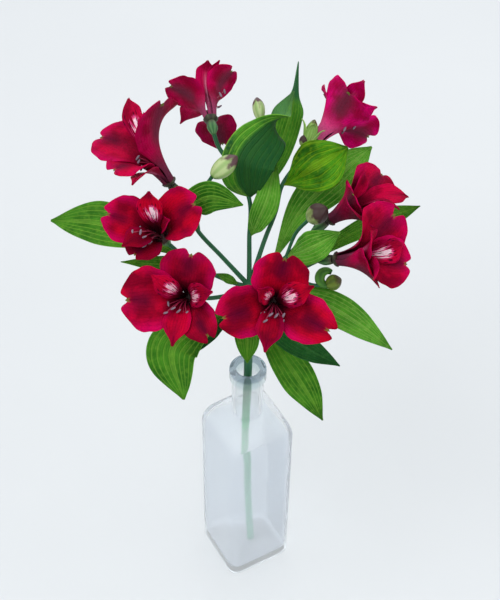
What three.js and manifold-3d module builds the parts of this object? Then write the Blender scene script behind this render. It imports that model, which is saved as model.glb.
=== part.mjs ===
// An alstroemeria stem in water in a square glass bottle. Millimetres, +Z up.
// The origin is the middle of the bottle's flat base.
import * as THREE from "three";
import { mergeVertices } from "three/addons/utils/BufferGeometryUtils.js";
import Module from "manifold-3d";

const wasm = await Module();
wasm.setup();

// Bottle: a square body with rounded corners, a shoulder, a round neck and a thick lip.
const bodySide = 43;
const bodyCorner = 6.5;
const bodyTurn = 30;
const bodyTop = 116;
const shoulderTop = 133;
const neckRadius = 9.1;
const lipRadius = 10.6;
const lipHeight = 9;
const bottleHeight = 170;
const glassWall = 2.4;
const glassFloor = 4;
const waterStep = 0.2;

// Pieces that touch keep this gap.
const gap = 0.3;

// Stem and flower head: the rays leave the stem at the fork.
const forkHeight = 234;
const headLean = 0.95;
const stemRadius = 2.3;
const rayRadius = 1.15;
const ovaryLength = 9;
const ovaryRadius = 3;
const seatRadius = 2.3;

// Blades.
const tepalThickness = 0.7;
const leafThickness = 0.7;

const { degToRad, lerp, smoothstep } = THREE.MathUtils;
const point = (list) => new THREE.Vector3(...list);

// ---------------------------------------------------------------- solids

function solidOf(geometry) {
  const bare = geometry.clone();
  bare.deleteAttribute("normal");
  bare.deleteAttribute("uv");
  const merged = mergeVertices(bare, 1e-4);
  return new wasm.Manifold(
    new wasm.Mesh({
      numProp: 3,
      vertProperties: merged.attributes.position.array,
      triVerts: new Uint32Array(merged.index.array),
    }),
  );
}

function geometryOf(solid) {
  const mesh = solid.getMesh();
  const geometry = new THREE.BufferGeometry();
  geometry.setAttribute("position", new THREE.BufferAttribute(mesh.vertProperties, 3));
  geometry.setIndex(new THREE.BufferAttribute(mesh.triVerts, 1));
  geometry.computeVertexNormals();
  return geometry;
}

function fuse(geometries) {
  return geometryOf(geometries.map(solidOf).reduce((whole, piece) => whole.add(piece)));
}

function indexed(vertices, triangles) {
  const geometry = new THREE.BufferGeometry();
  geometry.setFromPoints(vertices);
  geometry.setIndex(triangles);
  return geometry;
}

// A closed skin over rings of points, each ring running the same way round, with a flat cap on
// the first ring and on the last.
function skin(rings) {
  const count = rings[0].length;
  const vertices = rings.flat();
  const triangles = [];
  for (let i = 0; i + 1 < rings.length; i++) {
    for (let j = 0; j < count; j++) {
      const a = i * count + j;
      const b = i * count + ((j + 1) % count);
      triangles.push(a, b, b + count, a, b + count, a + count);
    }
  }
  const middle = (ring) =>
    ring.reduce((sum, p) => sum.add(p), new THREE.Vector3()).divideScalar(count);
  const first = vertices.push(middle(rings[0])) - 1;
  const last = vertices.push(middle(rings.at(-1))) - 1;
  const end = (rings.length - 1) * count;
  for (let j = 0; j < count; j++) {
    const next = (j + 1) % count;
    triangles.push(first, next, j, last, end + j, end + next);
  }
  return indexed(vertices, triangles);
}

// A curved sheet of even thickness. pointAt(t, s) gives its middle surface, with t from root to
// tip and s from edge to edge. Both faces are split into triangles alike.
function sheet(pointAt, rows, columns, thickness) {
  const at = (i, j) => pointAt(i / rows, (2 * j) / columns - 1);
  const grid = [];
  for (let i = 0; i <= rows; i++) {
    for (let j = 0; j <= columns; j++) grid.push(at(i, j));
  }
  const index = (i, j) => i * (columns + 1) + j;
  const near = (value, most) => Math.min(Math.max(value, 0), most);
  const upper = [];
  const lower = [];
  for (let i = 0; i <= rows; i++) {
    for (let j = 0; j <= columns; j++) {
      const along = grid[index(near(i + 1, rows), j)].clone();
      along.sub(grid[index(near(i - 1, rows), j)]);
      const across = grid[index(i, near(j + 1, columns))].clone();
      across.sub(grid[index(i, near(j - 1, columns))]);
      const normal = across.cross(along).setLength(thickness / 2);
      upper.push(grid[index(i, j)].clone().add(normal));
      lower.push(grid[index(i, j)].clone().sub(normal));
    }
  }
  const under = grid.length;
  const triangles = [];
  for (let i = 0; i < rows; i++) {
    for (let j = 0; j < columns; j++) {
      const [a, b, c, d] = [index(i, j), index(i, j + 1), index(i + 1, j + 1), index(i + 1, j)];
      const split = j < columns / 2 ? [a, b, c, a, c, d] : [a, b, d, b, c, d];
      triangles.push(...split);
      triangles.push(...split.map((v) => v + under).reverse());
    }
  }
  const rim = [];
  for (let j = 0; j < columns; j++) rim.push(index(0, j));
  for (let i = 0; i < rows; i++) rim.push(index(i, columns));
  for (let j = columns; j > 0; j--) rim.push(index(rows, j));
  for (let i = rows; i > 0; i--) rim.push(index(i, 0));
  rim.forEach((a, k) => {
    const b = rim[(k + 1) % rim.length];
    triangles.push(a + under, b + under, b, a + under, b, a);
  });
  return indexed([...upper, ...lower], triangles);
}

// A round rod along a smooth line.
function rod(line, radius, steps, sides) {
  const corners = [];
  for (let k = 0; k < sides; k++) {
    const angle = (2 * Math.PI * k) / sides;
    corners.push(new THREE.Vector2(radius * Math.cos(angle), radius * Math.sin(angle)));
  }
  const extrudePath = new THREE.CatmullRomCurve3(line);
  return new THREE.ExtrudeGeometry(new THREE.Shape(corners), { extrudePath, steps });
}

// Turns local +Z towards `faces`, with local +Y as near upright as that allows.
function facing(faces) {
  const axis = point(faces).normalize();
  const upright = new THREE.Vector3(0, 0, 1).projectOnPlane(axis).normalize();
  const right = upright.clone().cross(axis);
  const turned = new THREE.Matrix4().makeBasis(right, upright, axis);
  return new THREE.Quaternion().setFromRotationMatrix(turned);
}

function addMesh(group, name, geometry, material) {
  const mesh = new THREE.Mesh(geometry, material.clone());
  mesh.name = name;
  group.add(mesh);
  return mesh;
}

function finish(color, roughness, extra = {}) {
  return new THREE.MeshStandardMaterial({ color, roughness, metalness: 0, ...extra });
}

const glassFinish = finish(0xdfe9ea, 0.05, { transparent: true, opacity: 0.3 });
const waterFinish = finish(0xe8f2f2, 0.02, { transparent: true, opacity: 0.25 });
const stemFinish = finish(0x3f7d4c, 0.5);
const leafFinish = finish(0x3f8f2e, 0.5);
const tepalFinish = finish(0xb00f2c, 0.55);
const budFinish = finish(0x8fa860, 0.5);

// ---------------------------------------------------------------- bottle and water

// Degrees round one quarter of the section, closer together on the rounded corner.
const cornerAngles = [0, 32, 41, 49, 58];

// One ring of the bottle: a rounded square of the given half side that turns into a circle of
// the given radius as roundness goes from 0 to 1.
function bottleRing(z, halfSide, corner, radius = halfSide, roundness = 0) {
  const inner = halfSide - corner;
  const ring = [];
  for (let quarter = 0; quarter < 4; quarter++) {
    for (const degrees of cornerAngles) {
      const angle = degToRad(degrees);
      const [c, s] = [Math.cos(angle), Math.sin(angle)];
      const flat = halfSide / Math.max(c, s);
      const reach = (c + s) * inner;
      const round = reach + Math.sqrt(Math.max(reach ** 2 - 2 * inner ** 2 + corner ** 2, 0));
      const onCorner = flat * Math.min(c, s) > inner;
      const distance = lerp(onCorner ? round : flat, radius, roundness);
      const turn = angle + degToRad(90 * quarter + bodyTurn);
      ring.push(new THREE.Vector3(distance * Math.cos(turn), distance * Math.sin(turn), z));
    }
  }
  return ring;
}

// A ring of the shoulder, from step 0 at the body to step 1 at the neck, drawn in by `inset`
// from the outside of the glass.
function shoulderRing(step, inset) {
  const swing = step * (Math.PI / 2);
  const roundness = 1 - Math.cos(swing);
  const z = lerp(bodyTop, shoulderTop, Math.sin(swing)) - inset / 2;
  const half = bodySide / 2 - inset;
  return bottleRing(z, half, bodyCorner - inset / 2, neckRadius - inset, roundness);
}

function shoulderRings(inset) {
  return [0.25, 0.5, 0.75, 1].map((step) => shoulderRing(step, inset));
}

function bottleGeometry() {
  const half = bodySide / 2;
  const neck = (z, radius) => bottleRing(z, half, bodyCorner, radius, 1);
  const lipBottom = bottleHeight - lipHeight;
  const outside = [
    bottleRing(0, half - 1.6, bodyCorner - 0.8),
    bottleRing(0.6, half - 0.5, bodyCorner - 0.3),
    bottleRing(2, half, bodyCorner),
    bottleRing(bodyTop, half, bodyCorner),
    ...shoulderRings(0),
    neck(lipBottom - 1, neckRadius),
    neck(lipBottom, lipRadius - 0.4),
    neck(lipBottom + 1.5, lipRadius),
    neck(bottleHeight - 1.5, lipRadius),
    neck(bottleHeight, lipRadius - 1.2),
  ];
  const boreRadius = neckRadius - glassWall;
  const inside = [
    bottleRing(glassFloor, half - glassWall - 2, bodyCorner - glassWall / 2),
    bottleRing(glassFloor + 2, half - glassWall, bodyCorner - glassWall / 2),
    bottleRing(bodyTop - glassWall / 2, half - glassWall, bodyCorner - glassWall / 2),
    ...shoulderRings(glassWall),
    neck(bottleHeight - 1, boreRadius),
    neck(bottleHeight, boreRadius + 0.9),
  ];
  return skin([...outside, ...inside.reverse()]);
}

// The stem, from its cut end just over the bottle's floor up to the fork.
const stemLine = [
  [1, 3, glassFloor + gap],
  [-1, 1, 60],
  [-1, -1, 115],
  [0, -2, bottleHeight],
  [0, 0, forkHeight],
].map(point);

function waterGeometry() {
  const half = bodySide / 2 - glassWall - gap;
  const corner = bodyCorner - glassWall / 2;
  const body = skin([
    bottleRing(glassFloor + gap, half - 2, corner),
    bottleRing(glassFloor + 2 + gap, half, corner),
    bottleRing(bodyTop - glassWall, half, corner),
    shoulderRing(waterStep, glassWall + gap + 0.2),
  ]);
  const below = stemLine[0].clone().setZ(0);
  const hole = rod([below, ...stemLine], stemRadius + gap + 0.2, 16, 8);
  return geometryOf(solidOf(body).subtract(solidOf(hole)));
}

// ---------------------------------------------------------------- flower head, from the fork

// The head as a whole leans a little to one side of the stem, about a slanting axis.
const leanAxis = new THREE.Vector3(0, 1, -1).normalize();
const leaning = new THREE.Quaternion().setFromAxisAngle(leanAxis, -degToRad(headLean));

// Each bloom: where it sits on its ovary, the way it faces, the points its stalk passes, its
// tepals, and the side its stamens bend to, in degrees. A tepal is [degrees round the axis, reach
// of the tip from the axis, height of the tip], then if it differs from the usual shape
// [..., roll about its length, width factor, cupping, arch].
const blooms = [
  {
    name: "bloom_1",
    seat: [-40, 25, 48],
    faces: [-0.47, 0.12, 0.785],
    stalk: [[0, 0, 0], [-14, 5, 16], [-26, 8, 31], [-31, 14, 37]],
    outer: [[91, 27, 46, 40, 1.25, 0, 0.82], [251, 31, 36, 0, 1.1], [328, 23, 29, 25, 0.8]],
    inner: [[199, 28, 42, 0, 0.85], [163, 13, 38, 0, 0.5], [0, 26, 22, 0, 0.9]],
    bend: 290,
  },
  {
    name: "bloom_2",
    seat: [-20, 61, 61],
    faces: [-0.15, 0.92, 0.1],
    stalk: [[0, 0, 0], [0, 15, 19], [0, 28, 36], [-8, 40, 47], [-16, 49, 54]],
    outer: [[21, 23, 24, 10, 0.8], [151, 20, 30, 0, 0.7], [255, 36, 14, 0, 0.8]],
    inner: [[102, 14, 34, 0, 0.9], [126, 16, 34, 0, 0.5], [301, 27, 26]],
    bend: 200,
  },
  {
    name: "bloom_3",
    seat: [-44, 5, 29],
    faces: [-0.2, -0.5, 0.84],
    stalk: [[0, 0, 0], [-5, 0, 1], [-18, 2, 6], [-31, 5, 13]],
    outer: [[41, 28, 25], [182, 27, 26, 0, 0.88], [254, 19, 20, 0, 0.7]],
    inner: [[30, 10, 24, 0, 0.6], [105, 15, 32], [237, 18, 26, 0, 0.9]],
    bend: 237,
  },
  {
    name: "bloom_4",
    seat: [-30, -25, 16],
    faces: [-0.15, -0.7, 0.7],
    stalk: [[0, 0, 0], [-9, -7, 1], [-19, -14, 5]],
    outer: [[83, 25, 26, 0, 1.05], [191, 30, 28, 0, 1.15], [316, 27, 26, 0, 0.66]],
    inner: [[18, 17, 27, 0, 0.9], [148, 17, 30, 0, 0.8], [270, 24, 26]],
    bend: 255,
  },
  {
    name: "bloom_5",
    seat: [12, -27, 15],
    faces: [0.03, -0.7, 0.7],
    stalk: [[0, 0, 0], [5, -7, 2], [9, -14, 5]],
    outer: [[76, 25, 26, 0, 1.05], [195, 31, 26, 0, 0.93], [330, 34, 26, 0, 0.85]],
    inner: [[21, 20, 30, 0, 0.9], [143, 11, 31, 0, 0.7], [256, 25, 26]],
    bend: 262,
  },
  {
    name: "bloom_6",
    seat: [33, 51, 54],
    faces: [0.62, 0.64, 0.35],
    stalk: [[0, 0, 0], [8, 18, 16], [14, 28, 28], [17, 36, 38], [24, 43, 46]],
    outer: [[112, 23, 30, 15, 1.05, 0.4], [234, 24, 28, 50], [356, 19, 30, 0, 0.8]],
    inner: [[118, 27, 35, 0, 0.8], [60, 10, 30], [146, 30, 29, 0, 0.9]],
    bend: 230,
  },
  {
    name: "bloom_7",
    seat: [40, 16, 31],
    faces: [0.76, 0.07, 0.65],
    stalk: [[0, 0, 0], [10, 2, 9], [19, 4, 17], [27, 9, 23]],
    outer: [[332, 27, 33, 10, 0.9], [120, 11, 24, 0, 0.75], [190, 22, 22, 0, 1, 0, 0.85]],
    inner: [[20, 12, 30, 0, 0.7], [234, 16, 36, 0, 0.8], [289, 25, 38]],
    bend: 250,
  },
  {
    name: "bloom_8",
    seat: [42, -10.5, 29],
    faces: [0.89, -0.3, 0.35],
    stalk: [[0, 0, 0], [11, -2, 6], [23, -5.5, 15.5]],
    outer: [[17, 29, 32, 25, 1.25, 0, 0.7], [190, 16, 27, 0, 0.9, 0.3, 0.8], [303, 16, 37, 0, 1, 0, 0.75]],
    inner: [[348, 13, 34], [101, 20, 28, 0, 1.2], [170, 23, 30, 40, 0.8]],
    bend: 300,
  },
];

// Buds: the middle of the foot, the tip, the greatest radius, and the stalk's points.
const buds = [
  { name: "bud_1", foot: [-19, 19, 58.5], tip: [-6, 27, 65.5], radius: 5,
    stalk: [[-26, 8, 31], [-27, 16, 45]] },
  { name: "bud_2", foot: [30, 6, 41], tip: [39, 5, 50], radius: 5.4,
    stalk: [[19, 4, 17], [24, 8, 30]] },
  { name: "bud_3", foot: [6, 70, 56], tip: [4, 82, 62], radius: 3.4,
    stalk: [[0, 28, 36], [3, 50, 46]] },
  { name: "bud_4", foot: [30, 44, 58.5], tip: [34, 53, 69], radius: 4.6,
    stalk: [[17, 36, 38], [24, 40, 47]] },
  { name: "bud_5", foot: [40, -6, 6], tip: [48, -4, 9], radius: 4.2,
    stalk: [[21, -4, 13], [32, -6, 7]] },
];

// Leaves: the points the midrib passes, from the middle of the rod that carries it to the tip,
// greatest width, where along the length that is, the way the upper face looks and how much
// the two halves fold up.
const leaves = [
  { name: "leaf_1", midrib: [[-31, 5, 13], [-53, 19, 16], [-80, 28, 19], [-107, 34, 16]],
    width: 24, belly: 0.62, looks: [0, -0.5, 0.85], fold: 0.2 },
  { name: "leaf_2", midrib: [[-18, 2, 6], [-40, 12, 3], [-68, 9, 9]],
    width: 10, belly: 0.5, looks: [0, -0.4, 0.9], fold: 0.25 },
  { name: "leaf_3", midrib: [[0, 0, -5], [-20, -18, -7], [-39, -35, -11], [-34, -49, -35]],
    width: 27, belly: 0.55, looks: [-0.3, -0.8, 0.5], fold: 0.2 },
  { name: "leaf_4", midrib: [[-19, -14, 5], [-44, -13, 0], [-62, -14, -11]],
    width: 9, belly: 0.5, looks: [-0.1, -0.4, 0.9], fold: 0.2 },
  { name: "leaf_5", midrib: [[0, 0, -6], [-19, -18, -13], [-27, -26, -23]],
    width: 10, belly: 0.5, looks: [-0.2, -0.7, 0.6], fold: 0.2 },
  { name: "leaf_6", midrib: [[0, 0, -6], [-1, -30, -3], [-1, -46, -10]],
    width: 13, belly: 0.6, looks: [0, -0.4, 0.9], fold: 0.25 },
  { name: "leaf_7", midrib: [[0, 0, -4], [22, -28, -11], [47, -38, -21]],
    width: 17, belly: 0.5, looks: [0.1, -0.4, 0.9], fold: 0.3 },
  { name: "leaf_8", midrib: [[0, 0, -11], [18, -26, -27], [30, -38, -40], [39, -48, -53]],
    width: 19, belly: 0.5, looks: [0.2, -0.8, 0.5], fold: 0.15 },
  { name: "leaf_9", midrib: [[0, 0, -5], [36, -9, -3], [56, -17, -10], [76, -21, -27]],
    width: 19, belly: 0.55, looks: [0.2, -0.6, 0.8], fold: 0.15 },
  { name: "leaf_10", midrib: [[0, 28, 36], [-1, 33, 56], [11, 53, 62], [24, 81, 67]],
    width: 29, belly: 0.36, looks: [0.1, -0.8, 0.6], fold: 0.2 },
  { name: "leaf_11", midrib: [[0, 28, 36], [10, 50, 35], [22, 80, 50], [27, 106, 69]],
    width: 15, belly: 0.58, looks: [0, -0.6, 0.8], fold: 0.2 },
  { name: "leaf_12", midrib: [[0, 15, 19], [5, 15, 23], [9, 26, 36], [14, 47, 47]],
    width: 14, belly: 0.62, looks: [0.3, -0.7, 0.6], fold: 0.2 },
  { name: "leaf_13", midrib: [[-26, 8, 31], [-30, 9, 46], [-20, 10, 53], [-3, 10, 47.5]],
    width: 17, belly: 0.6, looks: [0, -0.9, 0.5], fold: 0.15 },
  { name: "leaf_14", midrib: [[17, 36, 38], [33, 30, 55], [51, 40, 61]],
    width: 27, belly: 0.58, looks: [0, -0.7, 0.7], fold: 0.2 },
  { name: "leaf_15", midrib: [[10, 2, 9], [27, 34, 22], [49, 54, 32], [67, 70, 38]],
    width: 24, belly: 0.6, looks: [0, -0.6, 0.8], fold: 0.2 },
  { name: "leaf_16", midrib: [[19, 4, 17], [32, -6, 33], [46, -3, 41]],
    width: 17, belly: 0.5, looks: [0, -0.6, 0.8], fold: 0.2 },
  { name: "leaf_17", midrib: [[11, -2, 6], [64, 30, 16], [92, 39, 22]],
    width: 12, belly: 0.6, looks: [0, -0.6, 0.8], fold: 0.2 },
  { name: "leaf_18", midrib: [[-5, 0, 1], [-11, -2, 7], [-17, -2, 11]],
    width: 5, belly: 0.5, looks: [0, -0.6, 0.8], fold: 0.2 },
];

// A body of revolution along +Z with three low ribs. Each station is [height, radius].
function ribbed(stations, sides, ribDepth) {
  return skin(
    stations.map(([height, radius]) => {
      const ring = [];
      for (let k = 0; k < sides; k++) {
        const angle = (2 * Math.PI * k) / sides;
        const r = radius * (1 + ribDepth * Math.cos(3 * angle));
        ring.push(new THREE.Vector3(r * Math.cos(angle), r * Math.sin(angle), height));
      }
      return ring;
    }),
  );
}

function ovaryFor(bloom) {
  const stations = [
    [0, rayRadius * 1.05],
    [ovaryLength * 0.25, ovaryRadius * 0.75],
    [ovaryLength * 0.6, ovaryRadius],
    [ovaryLength, seatRadius],
  ];
  const ovary = ribbed(stations, 6, 0);
  ovary.translate(0, 0, -ovaryLength);
  ovary.applyQuaternion(facing(bloom.faces));
  return ovary.translate(...bloom.seat);
}

// The stalk ends a little way inside the ovary.
function stalkFor(bloom) {
  const back = point(bloom.faces).setLength(ovaryLength * 0.7);
  const end = point(bloom.seat).sub(back);
  const line = [...bloom.stalk.map(point), end];
  return rod(line, rayRadius, 2 * line.length - 1, 5);
}

function budStalk(bud) {
  const foot = point(bud.foot);
  const inward = foot.clone().sub(point(bud.tip)).setLength(2 * gap);
  const line = [...bud.stalk.map(point), foot.add(inward)];
  return rod(line, rayRadius * 0.8, 5, 5);
}

function stemGeometry() {
  const up = (geometry) => geometry.applyQuaternion(leaning).translate(0, 0, forkHeight);
  const fork = new THREE.SphereGeometry(stemRadius * 1.4, 8, 5);
  return fuse([
    rod(stemLine, stemRadius, 12, 8),
    up(fork),
    ...blooms.map((bloom) => up(stalkFor(bloom))),
    ...blooms.map((bloom) => up(ovaryFor(bloom))),
    ...buds.map((bud) => up(budStalk(bud))),
  ]);
}

// The outline of each kind of tepal: half its width along its length, how far along each line
// from root to tip runs, and how closely it wraps round the axis.
const outerTepal = {
  foot: 3,
  width: 28,
  halfWidth: (t) => {
    const past = Math.max(t - 0.7, 0) / 0.3;
    return (0.15 + 0.85 * smoothstep(t, 0.12, 0.62)) * Math.sqrt(1 - 0.8 * past ** 2);
  },
  end: (s) => 1 - 0.06 * s ** 2 - 0.11 * Math.exp(-((s / 0.32) ** 2)),
  wrap: (t) => lerp(0.95, 0.12, smoothstep(t, 0.25, 0.8)),
  rows: 6,
  columns: 4,
};
const innerTepal = {
  foot: 1.6,
  width: 14,
  halfWidth: (t) => (0.2 + 0.8 * smoothstep(t, 0.14, 0.62)) * (1 - 0.92 * smoothstep(t, 0.72, 1)),
  end: () => 1,
  wrap: (t) => lerp(0.95, 0.4, smoothstep(t, 0.25, 0.8)),
  rows: 5,
  columns: 4,
};

// A tepal on a bloom whose axis is +Z: `angle` degrees round it, with its tip at `reach` from
// the axis and `rise` above the seat.
function tepal(kind, place, ripple) {
  const [angle, reach, rise, roll = 0, wide = 1, cup = 0, arch = 0.98] = place;
  const line = new THREE.CubicBezierCurve(
    new THREE.Vector2(kind.foot, 2),
    new THREE.Vector2(kind.foot + 0.8, rise * arch * 0.61),
    new THREE.Vector2(kind.foot + reach * 0.35, rise * arch),
    new THREE.Vector2(reach, rise),
  );
  const out = new THREE.Vector3(Math.cos(degToRad(angle)), Math.sin(degToRad(angle)), 0);
  const up = new THREE.Vector3(0, 0, 1);
  const across = out.clone().cross(up);
  const middle = new THREE.Vector2(0, 0);
  const pointAt = (t, s) => {
    const u = t * kind.end(s);
    const spot = line.getPoint(u);
    const way = line.getTangent(u);
    const half = (kind.width / 2) * wide * kind.halfWidth(t);
    const wrapRadius = spot.x / (kind.wrap(t) + cup * smoothstep(t, 0.3, 0.8));
    const swing = (half * s) / wrapRadius;
    const wave = ripple * Math.sin(7 * t + 3 * s + angle) * s * s * smoothstep(t, 0.4, 1);
    const section = new THREE.Vector2(Math.sin(swing), 1 - Math.cos(swing));
    section.multiplyScalar(wrapRadius);
    section.y += wave;
    section.rotateAround(middle, degToRad(roll) * smoothstep(t, 0.3, 1));
    return new THREE.Vector3()
      .addScaledVector(out, spot.x - way.y * section.y)
      .addScaledVector(up, spot.y + way.x * section.y)
      .addScaledVector(across, section.x);
  };
  return sheet(pointAt, kind.rows, kind.columns, tepalThickness);
}

function stamen(angle, length, lean) {
  const out = (radius, z) => {
    const turn = degToRad(angle);
    return new THREE.Vector3(radius * Math.cos(turn), radius * Math.sin(turn), z);
  };
  const line = [out(0.4, 2), out(1, length * 0.5), out(lean * 0.5, length * 0.85), out(lean, length)];
  const thread = rod(line, 0.4, 3, 4);
  const anther = new THREE.OctahedronGeometry(1.5, 0);
  anther.scale(0.6, 0.6, 1.3).translate(...line.at(-1));
  return [thread, anther];
}

function bloomGeometry(bloom) {
  const receptacle = [[gap, seatRadius], [1.6, seatRadius + 1.7], [3.2, seatRadius + 1.7]];
  const stamens = [-20, 0, 20].map((turn) => stamen(bloom.bend + turn, 22, 8 + turn / 10));
  return fuse([
    ribbed(receptacle, 8, 0),
    ...bloom.outer.map((place) => tepal(outerTepal, place, 0.9)),
    ...bloom.inner.map((place) => tepal(innerTepal, place, 0.5)),
    ...stamens.flat(),
  ]);
}

function budGeometry(bud) {
  const length = point(bud.foot).distanceTo(point(bud.tip));
  const shape = [[0, 0.3], [0.15, 0.7], [0.5, 1], [0.8, 0.7], [1, 0.14]];
  const stations = shape.map(([height, radius]) => [height * length, radius * bud.radius]);
  return ribbed(stations, 9, 0.06);
}

// A leaf starts just clear of the upright stem, or of the slanting ray that carries it.
function midribOf(leaf) {
  const line = leaf.midrib.map(point);
  const away = line[1].clone().sub(line[0]);
  const onStem = line[0].x === 0 && line[0].y === 0;
  if (onStem) away.multiplyScalar((stemRadius + 1.5 * gap) / Math.hypot(away.x, away.y));
  else away.setLength(rayRadius + 2 * gap + leafThickness);
  line[0].add(away);
  return new THREE.CatmullRomCurve3(line);
}

function leafGeometry(leaf) {
  const line = midribOf(leaf);
  const looks = point(leaf.looks);
  const swell = Math.log(0.5) / Math.log(leaf.belly);
  const broad = leaf.width > 12;
  const pointAt = (t, s) => {
    const spot = line.getPoint(t);
    const along = line.getTangent(t);
    const across = along.clone().cross(looks).normalize();
    const normal = across.clone().cross(along);
    const outline = Math.max(Math.sin(Math.PI * t ** swell), 0.06);
    const half = (leaf.width / 2) * outline;
    const wave = 0.04 * leaf.width * Math.sin(9 * t + 2 * s) * s * s * outline;
    const lift = leaf.fold * half * Math.abs(s) + wave;
    return spot.addScaledVector(across, half * s).addScaledVector(normal, lift);
  };
  return sheet(pointAt, broad ? 7 : 6, broad ? 4 : 2, leafThickness);
}

// ---------------------------------------------------------------- the whole

const plant = new THREE.Group();
addMesh(plant, "bottle", bottleGeometry(), glassFinish);
addMesh(plant, "water", waterGeometry(), waterFinish);
addMesh(plant, "stem", stemGeometry(), stemFinish);

const head = new THREE.Group();
head.position.z = forkHeight;
head.quaternion.copy(leaning);
plant.add(head);

for (const bloom of blooms) {
  const mesh = addMesh(head, bloom.name, bloomGeometry(bloom), tepalFinish);
  mesh.quaternion.copy(facing(bloom.faces));
  mesh.position.set(...bloom.seat);
}
for (const bud of buds) {
  const mesh = addMesh(head, bud.name, budGeometry(bud), budFinish);
  mesh.quaternion.copy(facing(point(bud.tip).sub(point(bud.foot)).toArray()));
  mesh.position.set(...bud.foot);
}
for (const leaf of leaves) addMesh(head, leaf.name, leafGeometry(leaf), leafFinish);

export default plant;
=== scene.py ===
from math import atan2, copysign, cos, exp, hypot, log, pi, radians, sin, sqrt, tau
import bpy
import numpy as np
from mathutils import Matrix, Quaternion, Vector


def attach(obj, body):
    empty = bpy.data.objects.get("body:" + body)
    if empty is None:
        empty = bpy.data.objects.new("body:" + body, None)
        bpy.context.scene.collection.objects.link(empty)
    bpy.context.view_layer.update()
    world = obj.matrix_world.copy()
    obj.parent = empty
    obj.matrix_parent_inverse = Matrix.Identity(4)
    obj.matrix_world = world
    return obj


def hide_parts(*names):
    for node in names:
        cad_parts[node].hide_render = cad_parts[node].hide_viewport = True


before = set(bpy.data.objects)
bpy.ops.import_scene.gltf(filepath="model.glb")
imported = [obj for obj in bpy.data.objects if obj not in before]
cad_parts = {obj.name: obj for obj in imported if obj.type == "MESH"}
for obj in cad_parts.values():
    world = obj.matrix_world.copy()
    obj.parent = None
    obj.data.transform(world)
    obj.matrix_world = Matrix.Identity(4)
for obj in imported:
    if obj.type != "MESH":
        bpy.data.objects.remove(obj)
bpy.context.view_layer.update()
mm = 0.001
forkHeight = 234  # where the rays leave the stem; head places are counted from here, in mm
headLean = 0.95  # the whole head leans this many degrees over to one side of the stem
zUp = Vector((0, 0, 1))
leaning = Matrix.Translation(zUp * forkHeight) @ Matrix.Rotation(radians(-headLean), 4, (0, 1, -1))


def smoothStep(x, low, high):
    x = min(max((x - low) / (high - low), 0), 1)
    return x * x * (3 - 2 * x)


def lerp(a, b, share):
    return a + (b - a) * share


def deselectAll():
    bpy.ops.object.select_all(action="DESELECT")


def pick(piece):
    deselectAll()
    piece.select_set(True)
    bpy.context.view_layer.objects.active = piece


def started(add, name, **settings):  # what an operator adds, alone in the selection
    deselectAll()
    add(**settings)
    piece = bpy.context.object
    piece.name = name
    return piece


def setMode(mode):
    bpy.ops.object.mode_set(mode=mode)


def applyModifiers(piece):
    pick(piece)
    for modifier in list(piece.modifiers):
        bpy.ops.object.modifier_apply(modifier=modifier.name)


def rounded(piece):
    rounding = piece.modifiers.new("rounding", "SUBSURF")
    rounding.levels = rounding.render_levels = 1
    applyModifiers(piece)


def joined(pieces, name):
    whole = pieces[0]
    pick(whole)
    for piece in pieces:
        piece.select_set(True)
    if len(pieces) > 1:
        bpy.ops.object.join()
    whole.name = whole.data.name = name
    return whole


def pointValues(piece, name, values):
    layer = piece.data.attributes.new(name, "FLOAT", "POINT")
    layer.data.foreach_set("value", np.full(len(layer.data), values, np.float32))


# A smooth line through points, t from 0 to 1 (centripetal Catmull-Rom, as the stem and leaves follow).
class SmoothLine:
    def __init__(self, points):
        self.points = [Vector(p) for p in points]

    def at(self, t):
        pts = self.points
        last = len(pts) - 1
        i = min(int(last * t), last - 1)
        w = last * t - i
        p1, p2 = pts[i], pts[i + 1]
        p0 = pts[i - 1] if i > 0 else p1 + (p1 - p2)
        p3 = pts[i + 2] if i + 2 <= last else p2 + (p2 - p1)
        d0, d1, d2 = (max((b - a).length, 1e-6) ** 0.5 for a, b in ((p0, p1), (p1, p2), (p2, p3)))
        m1 = ((p1 - p0) / d0 - (p2 - p0) / (d0 + d1) + (p2 - p1) / d1) * d1
        m2 = ((p2 - p1) / d1 - (p3 - p1) / (d1 + d2) + (p3 - p2) / d2) * d1
        return (p1 + m1 * w + (3 * (p2 - p1) - 2 * m1 - m2) * w ** 2
                + (2 * (p1 - p2) + m1 + m2) * w ** 3)

    def way(self, t):
        return (self.at(min(t + 0.002, 1)) - self.at(max(t - 0.002, 0))).normalized()


# A flat grid as the start of every blade, with a "blade" UV map. placeAt(s, t) gives (point, front)
# in metres, s from -1 to 1 across and t from 0 to 1 along; build holds its grid and thickness in mm.
def bladeFrom(name, build, placeAt, finish, centreCrowd=1):
    piece = started(bpy.ops.mesh.primitive_grid_add, name, x_subdivisions=build["columns"],
                    y_subdivisions=build["rows"], size=2)
    mesh = piece.data
    flat = [(copysign(abs(v.co.x) ** centreCrowd, v.co.x), (v.co.y + 1) / 2) for v in mesh.vertices]
    uv = mesh.uv_layers[0]
    uv.name = "blade"
    for loop in mesh.loops:
        s, t = flat[loop.vertex_index]
        uv.data[loop.index].uv = ((s + 1) / 2, t)
    fronts = []
    for vertex, (s, t) in zip(mesh.vertices, flat):
        vertex.co, front = placeAt(s, t)
        fronts.append(front)
    mesh.update()
    count = len(mesh.vertices)
    solidify = piece.modifiers.new("body", "SOLIDIFY")
    solidify.thickness = build["thickness"] * mm
    solidify.offset = 0
    solidify.use_even_offset = False
    applyModifiers(piece)
    mesh = piece.data
    back = []
    for k, vertex in enumerate(mesh.vertices):
        pair = mesh.vertices[(k + count) % (2 * count)]
        back.append(1 if (vertex.co - pair.co).dot(fronts[k % count]) < 0 else 0)
    pointValues(piece, "back", back)
    rounded(piece)
    piece.data.materials.append(finish)
    bpy.ops.object.shade_smooth()
    return piece


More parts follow.
